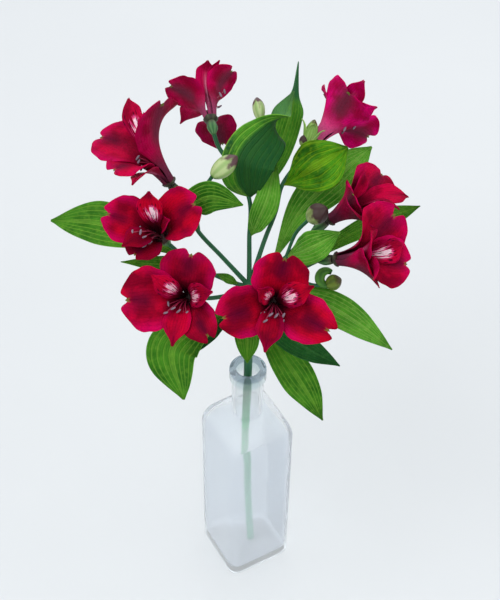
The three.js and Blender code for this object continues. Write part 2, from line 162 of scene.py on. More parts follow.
# A circle pulled up ring by ring and capped at both ends, then each ring put in its place.
# spotAt(ring, share) gives a point in metres, share being how far round.
def towerFrom(name, sides, rings, spotAt, finish, streaks=3):
    piece = started(bpy.ops.mesh.primitive_circle_add, name, vertices=sides, radius=1)
    setMode("EDIT")
    bpy.ops.mesh.select_all(action="SELECT")
    for _ in range(rings - 1):
        bpy.ops.mesh.extrude_region_move(TRANSFORM_OT_translate={"value": (0, 0, 1)})
    setMode("OBJECT")
    mesh = piece.data
    ringOf = [round(v.co.z) for v in mesh.vertices]
    shareOf = [(atan2(v.co.y, v.co.x) / tau) % 1 for v in mesh.vertices]
    for end in (0, rings - 1):
        for vertex, ring in zip(mesh.vertices, ringOf):
            vertex.select = ring == end
        for edge in mesh.edges:
            edge.select = all(ringOf[v] == end for v in edge.vertices)
        for face in mesh.polygons:
            face.select = False
        setMode("EDIT")
        bpy.ops.mesh.edge_face_add()
        bpy.ops.mesh.select_all(action="DESELECT")
        setMode("OBJECT")
    for vertex, ring, share in zip(mesh.vertices, ringOf, shareOf):
        vertex.co = spotAt(ring, share)
    pointValues(piece, "along", [r / (rings - 1) for r in ringOf])
    pointValues(piece, "streak", [0.5 + 0.5 * cos(streaks * tau * s) for s in shareOf])
    setMode("EDIT")
    bpy.ops.mesh.select_all(action="SELECT")
    bpy.ops.mesh.normals_make_consistent(inside=False)
    setMode("OBJECT")
    piece.data.materials.append(finish)
    bpy.ops.object.shade_smooth_by_angle(angle=radians(50))
    return piece


# A round rod along a smooth line in mm, its radius given along it.
def rodAlong(name, points, radiusAt, finish, rings, sides, streaks=5):
    line = SmoothLine(points)
    frames = []
    side = None
    for k in range(rings):
        t = k / (rings - 1)
        way = line.way(t)
        if side is None:
            side = way.orthogonal().normalized()
        side = (side - way * side.dot(way)).normalized()
        frames.append((line.at(t), side.copy(), way.cross(side), radiusAt(t)))

    def spotAt(ring, share):
        middle, a, b, radius = frames[ring]
        turn = share * tau
        return (middle + (a * cos(turn) + b * sin(turn)) * radius) * mm

    return towerFrom(name, sides, rings, spotAt, finish, streaks=streaks)


# A ribbed round form that stands up from its seat. profile gives (height, radius) as shares of long
# and wide in mm, and ribs(height, share) how much the radius swells or shrinks part of the way round.
def turnedFrom(name, stand, profile, ribs, finish, sides=24, wide=1, long=1):
    def spotAt(ring, share):
        height, radius = profile[ring]
        radius *= ribs(height, share) * wide
        turn = share * tau
        return (stand @ Vector((radius * cos(turn), radius * sin(turn), height * long))) * mm

    return towerFrom(name, sides, len(profile), spotAt, finish, streaks=6)


def spoke(degrees):
    return Vector((cos(radians(degrees)), sin(radians(degrees)), 0))


# Local +Z towards faces, local +Y as upright as that allows, as the blooms sit on their ovaries.
def facing(faces, seat):
    axis = Vector(faces).normalized()
    upright = (zUp - axis * zUp.dot(axis)).normalized()
    right = upright.cross(axis)
    turned = Matrix((right, upright, axis)).transposed().to_4x4()
    return leaning @ Matrix.Translation(Vector(seat)) @ turned


# A material and the short calls that build its node tree.
class Nodes:
    def __init__(self, name):
        self.material = bpy.data.materials.new(name)
        self.material.use_nodes = True
        self.tree = self.material.node_tree
        self.shader = self.tree.nodes["Principled BSDF"]
        self.place = self.add("TexCoord").outputs["Object"]

    def add(self, kind, **settings):
        made = self.tree.nodes.new("ShaderNode" + kind)
        for key, value in settings.items():
            setattr(made, key, value)
        return made

    def filled(self, kind, **values):
        made = self.add(kind)
        for name, value in values.items():
            self.put(value, made.inputs[name])
        return made

    def put(self, value, socket):
        if isinstance(value, bpy.types.NodeSocket):
            self.tree.links.new(value, socket)
        else:  # a colour comes as three numbers
            socket.default_value = (*value, 1) if isinstance(value, tuple) else value

    def fed(self, made, *values):
        for value, socket in zip(values, made.inputs):
            self.put(value, socket)
        return made.outputs[0]

    def maths(self, operation, *values):
        return self.fed(self.add("Math", operation=operation), *values)

    def times(self, a, b):
        return self.maths("MULTIPLY", a, b)

    def plus(self, a, b):
        return self.maths("ADD", a, b)

    def minus(self, a, b):
        return self.maths("SUBTRACT", a, b)

    def between(self, value, low, high, start=0, end=1):
        made = self.add("MapRange", interpolation_type="SMOOTHSTEP")
        return self.fed(made, value, low, high, start, end)

    def mixed(self, share, a, b):
        made = self.add("Mix", data_type="RGBA")
        for value, socket in ((share, 0), (a, 6), (b, 7)):
            self.put(value, made.inputs[socket])
        return made.outputs[2]

    def over(self, share, paint):  # lays paint over the colour so far
        self.colour = self.mixed(share, self.colour, paint)

    def value(self, name):
        return self.add("Attribute", attribute_name=name).outputs["Fac"]

    def split(self, vector):
        return self.filled("SeparateXYZ", Vector=vector).outputs

    def blade(self):
        return self.split(self.add("UVMap", uv_map="blade").outputs[0])[:2]

    def noise(self, scale, detail=3, rough=0.5, vector=None):
        made = self.filled("TexNoise", Vector=vector or self.place, Scale=scale, Detail=detail)
        self.put(rough, made.inputs["Roughness"])
        return made.outputs[0]

    def stretched(self, u, v, across, along):  # so many steps of a pattern across the blade and along it
        return self.fed(self.add("CombineXYZ"), self.times(u, across), self.times(v, along))

    def bump(self, height, strength, distance):
        made = self.filled("Bump", Strength=strength, Distance=distance, Height=height)
        self.put(made.outputs[0], self.shader.inputs["Normal"])

    # soft is how much light passes through the skin, bleed how far its red, green and blue go in mm.
    def finish(self, rough, shine=0.5, soft=0, bleed=None, **constants):
        self.put(self.colour, self.shader.inputs["Base Color"])
        self.put(rough, self.shader.inputs["Roughness"])
        self.shader.inputs["Specular IOR Level"].default_value = shine
        if soft:
            constants.update(Subsurface_Weight=soft, Subsurface_Radius=bleed, Subsurface_Scale=mm)
        for key, value in constants.items():
            self.shader.inputs[key.replace("_", " ")].default_value = value
        return self.material


# Lengthwise veins at even steps across the blade, a little uneven; 1 on a vein.
def veinsAcross(n, u, v, count, wander):
    drift = n.noise(1, 2, vector=n.stretched(u, v, 6, 2.5))
    across = n.plus(n.times(u, count), n.times(drift, wander))
    return n.between(n.maths("SINE", n.times(across, tau)), 0.2, 1)


def fromMiddle(n, u):
    return n.maths("ABSOLUTE", n.minus(n.times(u, 2), 1))


# Tepals: "red" is the lit body, "deep" the velvety shade, "rim" the magenta edge. The point values
# are "tint" (0 red to 1 pink), "vivid" (how strong the flame is) and "dusk" (how much painted shade
# darkens the tepal where its neighbours shade it).
def tepalFinish(name, look):
    n = Nodes(name)
    u, v = n.blade()
    side = fromMiddle(n, u)
    back = n.between(n.value("back"), 0.35, 0.65)
    tint = n.value("tint")
    cloud = n.noise(95)
    wide = n.noise(38, 2)
    fine = veinsAcross(n, u, v, look["veins"], 1.4)

    lively = n.between(cloud, 0.62, 0.35)
    red = n.mixed(tint, look["red"], look["pink"])
    body = n.mixed(lively, n.mixed(tint, look["deep"], look["deepPink"]), red)
    edge = n.maths("MAXIMUM", n.between(side, 0.5, 1), n.between(v, 0.8, 1))
    edge = n.times(n.times(edge, n.between(v, 0.3, 0.6)), n.between(wide, 0.35, 0.6))
    n.colour = body
    n.over(n.times(edge, look["rimShare"]), look["rim"])
    spot = n.times(n.between(v, 0.5, 0.8), n.between(v, 1.02, 0.9))
    spot = n.times(spot, n.between(n.plus(side, n.times(cloud, 0.3)), 0.66, 0.12))
    n.over(n.times(spot, look["spot"]), look["spotColour"])
    n.over(n.between(v, 0.58, 0.22), look["maroon"])
    n.over(n.times(fine, look["fine"]), look["maroon"])
    if "heart" in look:
        patchOn(n, u, v, side, look)
    streak = n.times(n.between(side, look["streakWidth"], 0.02), n.between(v, *look["streakSpan"]))
    n.over(n.times(n.times(streak, tint), look["shadow"]), look["streakColour"])
    front = n.colour

    n.colour = n.mixed(tint, n.mixed(lively, look["backDeep"], look["back"]), body)
    n.over(n.times(edge, 0.5), n.mixed(tint, look["rim"], look["pink"]))
    n.over(n.times(streak, look["streak"]), look["streakColour"])
    n.over(n.times(fine, look["fine"] + 0.06), look["backDeep"])
    n.over(n.between(v, 0.46, 0.1), n.mixed(tint, look["foot"], look["claw"]))
    n.colour = n.mixed(back, front, n.colour)
    # painted shade: a tepal that its neighbours shade is darkened unevenly towards maroon
    paintedShade = n.times(n.value("paintedShade"), n.between(cloud, 0.7, 0.3, 0.75, 1))
    n.over(paintedShade, look["maroon"])
    beak = n.times(n.between(v, 0.945, 0.98), n.between(side, 0.16, 0.05))
    n.over(n.times(beak, look["beak"]), look["beakColour"])
    nap = n.noise(1300, 3, 0.7)  # the short velvety nap
    n.over(n.between(nap, 0.45, 0.75, 0, 0.35), look["maroon"])

    grain = n.noise(1, 4, vector=n.stretched(u, v, 60, 9))
    height = n.plus(n.times(fine, -0.5), n.times(grain, 0.35))
    n.bump(n.plus(height, n.times(cloud, 3)), 0.5, 0.0005)
    rough = n.between(cloud, 0.2, 0.8, 0.5, 0.66)
    return n.finish(rough, shine=0.02, soft=0.06, bleed=(1, 0.02, 0.08))


# The pink and white flame of the upper inner tepals, in ragged lengthwise strokes, with thin dark
# dashes on and around it.
def patchOn(n, u, v, side, look):
    vivid = n.value("vivid")
    strokes = n.noise(1, 2, vector=n.stretched(u, v, *look["strokes"]))
    across, along = look["patchSize"]
    above = n.maths("DIVIDE", n.minus(v, look["heart"]), along)
    beside = n.maths("DIVIDE", side, across)
    away = n.maths("SQRT", n.plus(n.times(above, above), n.times(beside, beside)))
    reach = n.plus(n.minus(1, away), n.times(n.minus(strokes, 0.5), look["ragged"]))
    flame = n.times(n.between(reach, 0.16, 0.34), n.between(away, 1.25, 0.9))
    flame = n.times(flame, n.between(vivid, 0, 1, 0.4, 0.9))
    n.over(flame, look["patchEdge"])
    heart = n.times(n.between(reach, 0.46, 0.64), n.between(away, 1.1, 0.7))
    heart = n.times(heart, n.between(vivid, 0, 1, 0.1, 0.95))
    n.over(heart, look["patchWhite"])
    cell = n.filled("TexVoronoi", Vector=n.stretched(u, v, *look["dashes"]), Scale=1, Randomness=0.8)
    dash = n.between(cell.outputs["Distance"], 0.36, 0.24)
    dashRange = n.times(n.between(v, 0.3, 0.42), n.between(v, 0.95, 0.75))
    n.over(n.times(dash, dashRange), look["dash"])


outerTepalLook = {
    "veins": 17, "fine": 0.08, "spot": 0.8, "beak": 0.9, "rimShare": 0.85, "shadow": 0.8,
    "streak": 0.85, "streakSpan": (0.24, 0.6), "streakWidth": 0.62, "streakColour": (0.1, 0.02, 0.04),
    "red": (0.47, 0.0006, 0.018), "deep": (0.19, 0.0003, 0.012), "rim": (0.54, 0.0006, 0.085),
    "pink": (0.7, 0.001, 0.16), "deepPink": (0.36, 0.001, 0.045), "claw": (0.6, 0.09, 0.24),
    "maroon": (0.045, 0.0006, 0.008), "spotColour": (0.07, 0.001, 0.018), "beakColour": (0.12, 0.16, 0.03),
    "back": (0.42, 0.001, 0.06), "backDeep": (0.2, 0.0006, 0.02), "foot": (0.06, 0.012, 0.022),
}
innerTepalLook = dict(
    outerTepalLook, shadow=0, veins=9, spot=0.1, beak=0.3, rimShare=0.3, fine=0.2,
    streakWidth=0.42, streakSpan=(0.78, 0.4), streakColour=(0.78, 0.3, 0.46), heart=0.52,
    patchSize=(0.7, 0.2), strokes=(17, 2.6), ragged=2.6, dashes=(17, 8.5), dash=(0.035, 0.001, 0.012),
    patchEdge=(0.7, 0.05, 0.2), patchWhite=(0.95, 0.68, 0.76))
lowerTepalLook = dict(
    outerTepalLook, shadow=0, veins=9, spot=0.4, beak=0.3, rimShare=0.4, fine=0.16,
    streak=0.7, streakWidth=0.42, streakSpan=(0.7, 0.35), streakColour=(0.62, 0.12, 0.26))

outerTepalFinish = tepalFinish("outer tepal velvet", outerTepalLook)
innerTepalFinish = tepalFinish("patterned inner tepal", innerTepalLook)
lowerTepalFinish = tepalFinish("plain inner tepal", lowerTepalLook)

filamentLook = {"foot": (0.12, 0.002, 0.015), "tip": (0.3, 0.01, 0.05), "shade": (0.05, 0.002, 0.01)}
antherLook = {"pit": (0.13, 0.085, 0.12), "pollen": (0.4, 0.31, 0.4), "shade": (0.05, 0.025, 0.04)}
stemLook = {  # painted lighter for the look through glass and water: "soaked" in the bottle, "pale" at its foot
    "dark": (0.01, 0.08, 0.035), "green": (0.03, 0.15, 0.06), "rib": (0.12, 0.3, 0.12),
    "speck": (0.02, 0.1, 0.04), "throughGlass": (0.1, 0.45, 0.22), "pale": (0.3, 0.58, 0.42),
}


def filamentFinish(look):
    n = Nodes("filament")
    cloud = n.noise(300)
    n.colour = n.mixed(n.between(n.value("along"), 0.1, 0.9), look["foot"], look["tip"])
    n.over(n.times(cloud, 0.3), look["shade"])
    return n.finish(0.4)


def antherFinish(look):
    n = Nodes("anther")
    grain = n.noise(2600, 4)
    n.colour = n.mixed(grain, look["pit"], look["pollen"])
    n.over(n.times(n.noise(400), 0.6), look["shade"])
    n.bump(grain, 0.8, 0.0002)
    return n.finish(0.8)


def stemFinish(look):
    n = Nodes("stem skin")
    cloud = n.noise(60)
    speck = n.noise(900, 5)
    streak = n.value("streak")
    n.colour = n.mixed(cloud, look["dark"], look["green"])
    n.over(n.times(n.between(streak, 0.6, 1), 0.35), look["rib"])
    n.over(n.times(n.between(speck, 0.55, 0.8), 0.25), look["speck"])
    height = n.split(n.place)[2]
    # painted light: lighter green in the bottle, paler near its foot, for the look through glass and water
    throughGlass = n.mixed(n.between(height, 0.13, 0.03), look["throughGlass"], look["pale"])
    inside = n.times(n.between(height, 0.17, 0.12), n.between(speck, 0.1, 0.5, 0.7, 0.9))
    n.over(inside, throughGlass)
    n.bump(n.plus(streak, n.times(speck, 0.3)), 0.35, 0.0003)
    rough = n.between(cloud, 0.2, 0.8, 0.32, 0.5)
    return n.finish(rough, shine=0.2, soft=0.1, bleed=(0.4, 1, 0.4))


def ovaryFinish(name, groove, rib, top):
    n = Nodes(name)
    streak = n.value("streak")
    cloud = n.noise(250)
    n.colour = n.mixed(streak, groove, rib)
    n.over(n.between(n.value("along"), 0.5, 1, 0, 0.75), top)
    n.over(n.times(cloud, 0.3), groove)
    n.bump(n.plus(streak, cloud), 0.4, 0.0003)
    return n.finish(n.between(cloud, 0.2, 0.8, 0.38, 0.5), shine=0.2)


def leafFinish(name, look):
    n = Nodes(name)
    u, v = n.blade()
    side = fromMiddle(n, u)
    back = n.between(n.value("back"), 0.35, 0.65)
    cloud = n.noise(55, 4)
    mottle = n.noise(420, 4)
    coarse = veinsAcross(n, u, v, look["veins"], look["wander"])
    thin = veinsAcross(n, u, v, look["veins"] * 3, 0.8)
    n.colour = n.mixed(n.between(cloud, 0.36, 0.62), look["dark"], look["green"])
    n.over(n.times(n.between(mottle, 0.45, 0.75), 0.3), look["light"])
    n.over(n.times(coarse, look["veinShare"]), look["light"])
    n.over(n.times(thin, 0.3), look["dark"])
    n.over(n.times(n.between(side, 0.14, 0.02), 0.3), look["light"])
    n.over(n.times(n.between(side, 0.95, 1), 0.4), look["light"])
    n.over(n.between(v, 0.16, 0, 0, 0.5), look["light"])
    if "half" in look:  # painted shadow: the folded-up side is painted darker than the strip beside it
        edge = n.plus(u, n.times(n.minus(cloud, 0.5), 0.2))
        n.over(n.times(n.between(edge, *look["half"]), 0.9), look["dark"])
    if "tip" in look:
        n.over(n.between(v, *look["tip"]), look["tipColour"])
    n.over(n.times(back, 0.45), look["under"])
    height = n.plus(n.times(coarse, -0.8), n.times(thin, -0.3))
    n.bump(n.plus(height, n.times(mottle, 0.25)), 0.7, 0.0009)
    rough = n.between(mottle, 0.2, 0.8, 0.36, 0.55)
    return n.finish(rough, shine=0.07, soft=0.08, bleed=(0.5, 1, 0.05))


leafLook = {
    "veins": 9, "wander": 0.4, "veinShare": 0.42, "dark": (0.02, 0.12, 0.005), "green": (0.065, 0.26, 0.014),
    "light": (0.21, 0.44, 0.045), "under": (0.1, 0.3, 0.05),
}
leafShades = {  # what differs from leafLook; half and tip are where the darker part starts and ends
    "fresh": {},
    "deep": {"dark": (0.006, 0.055, 0.01), "green": (0.014, 0.1, 0.018), "light": (0.06, 0.22, 0.05),
             "veinShare": 0.2},
    # painted shadow over one side of this leaf; half gives where its soft edge starts and ends across the
    # blade
    "half-shadowed": {"dark": (0.008, 0.065, 0.016), "half": (0.22, 0.34), "under": (0.13, 0.36, 0.1)},
    "yellow-green": {"dark": (0.04, 0.2, 0.01), "green": (0.1, 0.35, 0.025), "light": (0.28, 0.52, 0.09)},
    "dark-tipped": {"dark": (0.04, 0.2, 0.01), "green": (0.08, 0.3, 0.02), "under": (0.03, 0.16, 0.04),
                    "tip": (0.74, 0.82), "tipColour": (0.014, 0.12, 0.03)},
    "creased": {"veins": 8, "wander": 1.6, "veinShare": 0.32, "dark": (0.008, 0.07, 0.002),
                "green": (0.06, 0.24, 0.006), "light": (0.24, 0.4, 0.01)},
}
leafFinishes = {shade: leafFinish(f"{shade} leaf", dict(leafLook, **changes))
                for shade, changes in leafShades.items()}
sepalSkin = leafFinish("sepal", dict(leafLook, veins=3, dark=(0.08, 0.24, 0.02), green=(0.2, 0.42, 0.06),
                                     light=(0.42, 0.58, 0.2), under=(0.3, 0.48, 0.13)))


# Buds: pale green foot, green ribs, dark purple where the tepals show at the top, from start up.
def budFinish(name, pale, rib, purple, start, share):
    n = Nodes(name)
    along = n.value("along")
    streak = n.value("streak")
    cloud = n.noise(320, 4)
    n.colour = n.mixed(n.times(n.between(streak, 0.2, 1), 0.55), pale, rib)
    top = n.plus(along, n.times(n.minus(cloud, 0.5), 0.5))
    top = n.between(n.minus(top, n.times(streak, 0.12)), start, start + 0.22)
    n.over(n.times(top, share), purple)
    n.over(n.between(along, 0.12, 0), rib)
    n.bump(n.plus(streak, n.times(cloud, 0.4)), 0.4, 0.0004)
    rough = n.between(cloud, 0.2, 0.8, 0.35, 0.5)
    return n.finish(rough, shine=0.25, soft=0.1, bleed=(0.6, 1, 0.4))


# lip and rim are painted shade: the thick lip darker, a dark outline along its top edge
glassLook = {"body": (0.91, 0.93, 0.945), "lip": (0.7, 0.8, 0.81), "rim": (0.2, 0.27, 0.34),
             "lipFrom": (0.158, 0.163), "paintedRimFrom": (0.1662, 0.1682), "water": (0.87, 0.9, 0.95)}


def glassFinish(look):
    n = Nodes("bottle glass")
    height = n.split(n.place)[2]
    lip = n.between(height, *look["lipFrom"])  # the thick lip is clearer, with painted shade for the thick glass
    n.colour = n.mixed(lip, look["body"], look["lip"])
    # painted shade: a dark outline along the top of the lip
    rim = n.between(height, *look["paintedRimFrom"])
    n.over(n.times(rim, 0.85), look["rim"])
    n.bump(n.noise(28, 2), 0.12, 0.002)
    rough = n.minus(n.between(n.noise(240), 0.3, 0.8, 0.12, 0.2), n.times(lip, 0.1))
    return n.finish(rough, shine=0.3, Transmission_Weight=0.82, IOR=1.12)


def waterFinish(look):
    n = Nodes("still water")
    ripple = n.noise(50, 2)
    n.bump(ripple, 0.03, 0.001)
    rough = n.between(ripple, 0.2, 0.8, 0.12, 0.2)
    n.colour = look["water"]
    return n.finish(rough, shine=0.2, Transmission_Weight=0.84, IOR=1.06)


bottle = {
    "side": 43, "corner": 6.5, "turn": 30, "bodyTop": 116, "shoulderTop": 133,
    "neckRadius": 9.1, "lipRadius": 10.6, "lipHeight": 9, "height": 170, "wall": 2.4,
    "floor": 4, "waterStep": 0.2, "sides": 96, "shoulderSteps": 14,
    "footRound": 2, "footInset": 1.8, "floorRound": 2.5, "lipRound": 1.4, "boreRound": 1,
    "waterIn": 0.08, "waterDown": 0.05,  # how far the water reaches into the wall and the floor
    "meniscus": ((0.3, 0.25), (0.9, 0.75), (2, 1.1), (4, 1.25), (12, 1.3)),  # inward, drop
}


# A point of one ring, given as (z, half side, corner, radius, roundness).
def bottleSpot(ring, share):
    z, half, corner, radius, roundness = ring
    quarter = int(share * 4 + 1e-6)
    q = (share * 4 - quarter) * 2 - 1
    angle = radians(45 + 45 * copysign(abs(q) ** 2.2, q))
    c, s = cos(angle), sin(angle)
    inner = half - corner
    flat = half / max(c, s)
    reach = (c + s) * inner
    bend = reach + sqrt(max(reach ** 2 - 2 * inner ** 2 + corner ** 2, 0))
    distance = bend if flat * min(c, s) > inner else flat
    distance = lerp(distance, radius, roundness)
    turn = angle + radians(90 * quarter + bottle["turn"])
    return Vector((distance * cos(turn), distance * sin(turn), z)) * mm


def shoulderRing(step, inset):
    swing = step * pi / 2
    z = lerp(bottle["bodyTop"], bottle["shoulderTop"], sin(swing)) - inset / 2
    return (z, bottle["side"] / 2 - inset, bottle["corner"] - inset / 2,
            bottle["neckRadius"] - inset, 1 - cos(swing))


def squareRing(z, inset, cornerInset):
    half = bottle["side"] / 2 - inset
    return (z, half, bottle["corner"] - cornerInset, half, 0)


def roundRing(z, radius):
    return (z, bottle["side"] / 2, bottle["corner"], radius, 1)


def bottleFrom(name, rings, finish):
    return towerFrom(name, bottle["sides"], len(rings), lambda ring, share: bottleSpot(rings[ring], share),
                     finish)


def makeBottle():
    wall, steps = bottle["wall"], bottle["shoulderSteps"]
    top, neck, lip = bottle["height"], bottle["neckRadius"], bottle["lipRadius"]
    lipFoot = top - bottle["lipHeight"]
    foot, inset = bottle["footRound"], bottle["footInset"]
    rings = [squareRing(0, k, k / 2) for k in (19, 8, 2.4)]
    rings += [squareRing(foot - foot * cos(a), inset - inset * sin(a),
                         inset / 2 - inset / 2 * sin(a)) for a in (0.3, 0.6, 0.9, 1.2, 1.5)]
    rings += [squareRing(z, 0, 0) for z in (2, 4, 30, 60, 90, 110, bottle["bodyTop"])]
    rings += [shoulderRing(k / steps, 0) for k in range(1, steps + 1)]
    rings += [roundRing(z, neck) for z in (140, 150, lipFoot - 1.6)]
    rings.append(roundRing(lipFoot - 0.9, neck + 0.2))
    edge = bottle["lipRound"]
    rings += [roundRing(lipFoot + edge - edge * cos(a), lip - edge + edge * sin(a))
              for a in (0.2, 0.6, 1, 1.5)]
    rings += [roundRing(top - edge + edge * sin(a), lip - edge + edge * cos(a))
              for a in (0, 0.4, 0.8, 1.2, 1.5)]
    bore, edge = neck - wall, bottle["boreRound"]
    rings += [roundRing(top - edge + edge * sin(a), bore + edge - edge * cos(a))
              for a in (1.5, 1, 0.5, 0)]
    rings += [roundRing(z, bore) for z in (160, 150, 140)]
    rings += [shoulderRing(k / steps, wall) for k in range(steps, 0, -1)]
    rings += [squareRing(z, wall, wall / 2) for z in (bottle["bodyTop"] - wall / 2, 90, 60, 30, 9)]
    edge = bottle["floorRound"]
    rings += [squareRing(bottle["floor"] + edge - edge * sin(a), wall + edge - edge * cos(a),
                         wall / 2) for a in (0.3, 0.7, 1.1, 1.5)]
    rings += [squareRing(bottle["floor"], k, k / 2.4) for k in (10, 19)]
    piece = bottleFrom("glassBottle", rings, glassFinish(glassLook))
    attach(piece, "root")
    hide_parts("bottle")
    piece.visible_shadow = False  # clear glass lets the light through to the table


# The water meets the glass all round, and its top edge climbs the wall a little.
def makeWater():
    touch = bottle["wall"] - bottle["waterIn"]
    level = shoulderRing(bottle["waterStep"], touch)
    floor, edge = bottle["floor"] - bottle["waterDown"], bottle["floorRound"]
    rings = [squareRing(floor, k, k / 2.4) for k in (19, 10)]
    rings += [squareRing(floor + edge - edge * cos(a), touch + edge - edge * sin(a), touch / 2)
              for a in (0.3, 0.7, 1.1, 1.5)]
    rings += [squareRing(z, touch, touch / 2) for z in (30, 60, 90, bottle["bodyTop"] - touch / 2)]
    rings += [shoulderRing(bottle["waterStep"] * k / 3, touch) for k in (1, 2, 3)]
    rings += [(level[0] - drop, level[1] - inward, *level[2:]) for inward, drop in bottle["meniscus"]]
    piece = bottleFrom("bottleWater", rings, waterFinish(glassLook))
    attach(piece, "root")
    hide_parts("water")
    piece.visible_shadow = False


makeBottle()
makeWater()
print("bottle and water made")

# Each bloom: its seat and direction, the side its stamens bend to, how strong the flame is on each
# inner tepal, and in "dusk" the painted shade on tepals that neighbours shade, by angle. A tepal is
# (angle, reach of the tip, rise of the tip) and, where it differs from the usual shape, (..., roll,
# width factor, cupping, arch).
blooms = [
    {"seat": (-40, 25, 48), "faces": (-0.47, 0.12, 0.785), "tint": 0.15, "bend": 290, "patched": (1, 0, 0),
     "outer": ((96, 27, 46, 36, 1.12, 0, 0.82), (251, 31, 36, 0, 1.1), (328, 23, 29, 25, 0.8)),
     "inner": ((199, 28, 42, 0, 0.85), (163, 13, 38, 0, 0.5), (0, 26, 22, 0, 0.9))},
    {"seat": (-20, 61, 61), "faces": (-0.15, 0.92, 0.1), "tint": 0.4, "bend": 200, "patched": (1, 1, 0),
     "outer": ((21, 23, 24, 10, 0.8), (151, 20, 30, 0, 0.7), (255, 36, 14, 0, 0.8)),
     "inner": ((102, 14, 34, 0, 0.9), (126, 16, 34, 0, 0.5), (301, 27, 26)), "paintedShade": {255: 0.3}},
    {"seat": (-44, 5, 29), "faces": (-0.2, -0.5, 0.84), "tint": 0, "bend": 237, "patched": (0, 1, 0),
     "outer": ((41, 28, 25), (182, 27, 26, 0, 0.88), (254, 19, 20, 0, 0.7)),
     "inner": ((30, 10, 24, 0, 0.6), (105, 15, 32), (237, 18, 26, 0, 0.9)), "paintedShade": {254: 0.6, 237: 0.55}},
    {"seat": (-30, -25, 16), "faces": (-0.15, -0.7, 0.7), "tint": 0.05, "bend": 255,
     "patched": (0.55, 0.65, 0), "paintedShade": {83: 0.3, 316: 0.25, 18: 0.2},
     "outer": ((83, 25, 26, 0, 1.05), (191, 30, 28, 0, 1.15), (316, 27, 26, 0, 0.66)),
     "inner": ((18, 17, 27, 0, 0.9), (148, 17, 30, 0, 0.8), (270, 24, 26))},
    {"seat": (12, -27, 15), "faces": (0.03, -0.7, 0.7), "tint": 0, "bend": 262,
     "patched": (0.7, 0.5, 0), "paintedShade": {256: 0.35, 195: 0.1},
     "outer": ((76, 25, 26, 0, 1.05), (195, 31, 26, 0, 0.93), (330, 34, 26, 0, 0.85)),
     "inner": ((21, 20, 30, 0, 0.9), (143, 11, 31, 0, 0.7), (256, 25, 26))},
    {"seat": (33, 51, 54), "faces": (0.62, 0.64, 0.35), "tint": 1, "bend": 230, "patched": (1, 1, 0),
     "outer": ((112, 23, 28, 13, 1.2, 0.4), (234, 24, 28, 50), (356, 19, 30, 0, 0.8)),
     "inner": ((118, 27, 35, 0, 0.8), (60, 10, 30), (146, 30, 29, 0, 0.9))},
    {"seat": (40, 16, 31), "faces": (0.76, 0.07, 0.65), "tint": 0.15, "bend": 250, "patched": (0, 1, 0),
     "outer": ((332, 27, 33, 10, 0.9), (120, 11, 24, 0, 0.75), (196, 23, 25, 0, 1.25, 0, 0.85)),
     "inner": ((20, 12, 30, 0, 0.7), (234, 16, 36, 0, 0.8), (289, 25, 38)), "paintedShade": {196: 0.5, 234: 0.45}},
    {"seat": (42, -10.5, 29), "faces": (0.89, -0.3, 0.35), "tint": 0.1, "bend": 300, "patched": (1, 0, 0),
     "outer": ((17, 29, 32, 25, 1.25, 0, 0.7), (190, 16, 27, 0, 0.9, 0.3, 0.8), (303, 16, 37, 0, 1, 0, 0.75)),
     "inner": ((348, 13, 34), (101, 20, 28, 0, 1.2), (170, 23, 30, 40, 0.8))},
]
usualShape = (0, 1, 0, 0.98)  # roll in degrees, width factor, cupping and arch of a plain tepal

# foot is how far from the axis a tepal starts; halfWidth and wrap run along it, end across its tip.
outerTepal = {
    "foot": 3, "width": 28, "columns": 18, "rows": 24, "ripple": 0.9, "thickness": 0.55,
    "halfWidth": lambda t: ((0.2 + 0.8 * smoothStep(t, 0.12, 0.62))
                            * sqrt(1 - 0.8 * (max(t - 0.7, 0) / 0.3) ** 2)),
    "end": lambda s: (1 - 0.06 * s ** 2 - 0.11 * exp(-((s / 0.32) ** 2))
                      + 0.05 * exp(-((s / 0.06) ** 2))),
    "wrap": lambda t: lerp(0.95, 0.12, smoothStep(t, 0.25, 0.8)),
}
innerTepal = {
    "foot": 1.6, "width": 14, "columns": 10, "rows": 20, "ripple": 0.5, "thickness": 0.5,
    "halfWidth": lambda t: ((0.24 + 0.76 * smoothStep(t, 0.14, 0.62))
                            * (1 - 0.92 * smoothStep(t, 0.72, 1))),
    "end": lambda s: 1,
    "wrap": lambda t: lerp(0.95, 0.4, smoothStep(t, 0.25, 0.8)),
}
waves = {"scallop": 0.04, "notch": 0.028, "tooth": 0.022,  # shares of the width
         "frill": 0.45, "cross": 0.12, "channel": 0.5}  # shares of the ripple; the channel in mm


def bezier(a, b, c, d, t):
    e = 1 - t
    spot = a * e ** 3 + b * (3 * e * e * t) + c * (3 * e * t * t) + d * t ** 3
    way = (b - a) * (e * e) + (c - b) * (2 * e * t) + (d - c) * (t * t)
    return spot, way.normalized()


